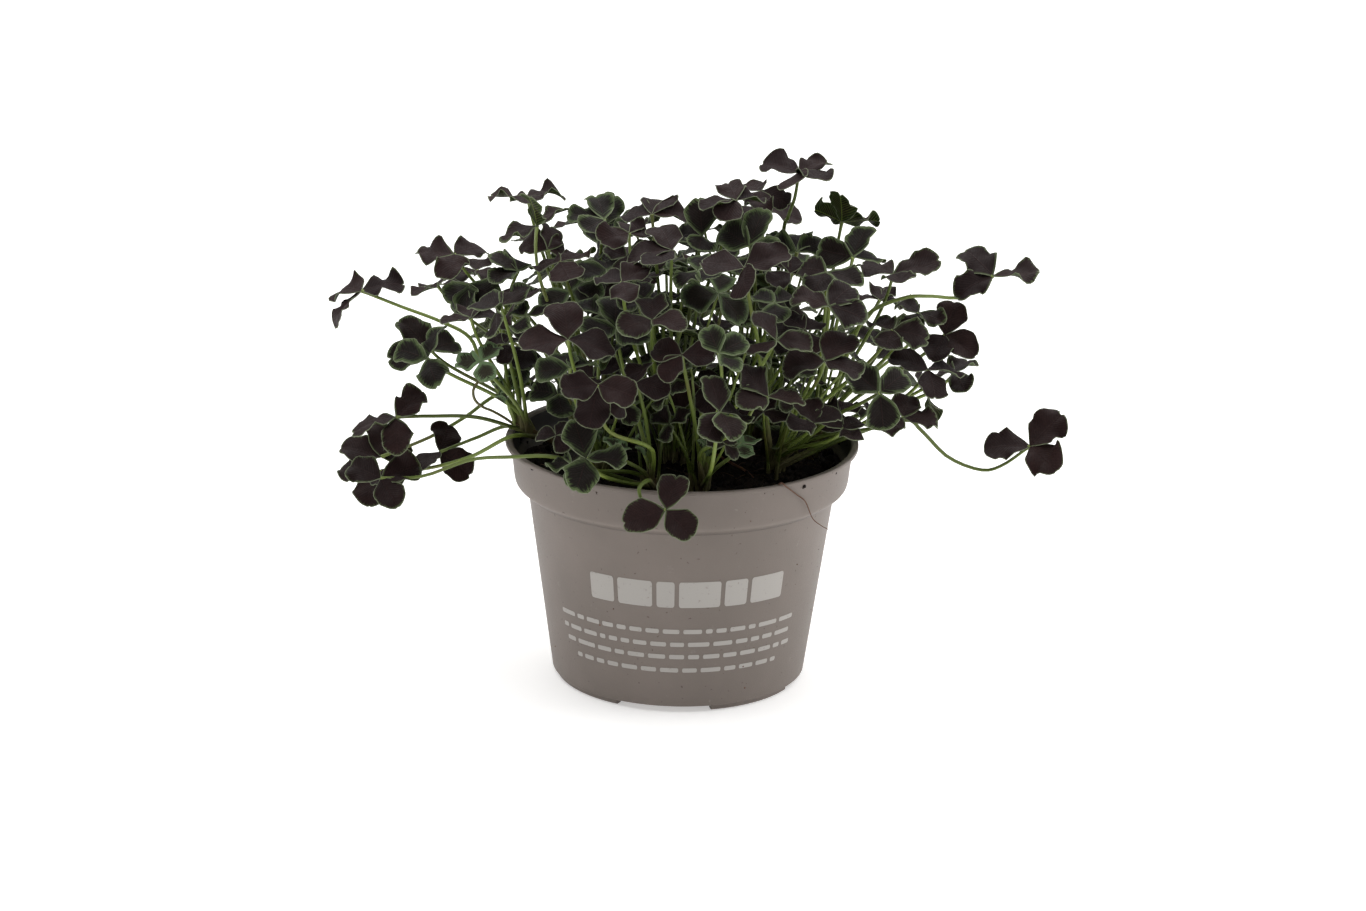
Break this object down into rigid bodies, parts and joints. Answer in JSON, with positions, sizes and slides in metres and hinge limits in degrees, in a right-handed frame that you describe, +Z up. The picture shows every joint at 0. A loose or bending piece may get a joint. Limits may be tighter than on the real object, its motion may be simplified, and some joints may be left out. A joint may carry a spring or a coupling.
{
  "type": "potted clover plant",
  "caption": "Dark-leaved white clover with long-stalked leaves spilling over a taupe plastic nursery pot.",
  "frame": {"origin": "on the ground under the middle of the whole outline, so the pot's own axis is a few millimetres to the left of it and in front of it", "axes": "+Z up, -Y towards the front that the plant is seen from, +X to the right of that view along the widest spread of leaves"},
  "size_m": [0.2504, 0.1736, 0.178],
  "materials": {
    "pot_plastic": "matt",
    "peat": "matt",
    "foliage": "soft satin"
  },
  "bodies": {
    "root": {"pot": "pot_plastic", "peat": "peat", "clover_west": "foliage", "clover_southwest": "foliage", "clover_front": "foliage", "clover_south": "foliage", "clover_middle": "foliage", "clover_east": "foliage", "clover_southeast": "foliage", "clover_far_east": "foliage", "clover_northeast": "foliage", "clover_north": "foliage", "clover_northwest": "foliage"}
  },
  "joints": []
}
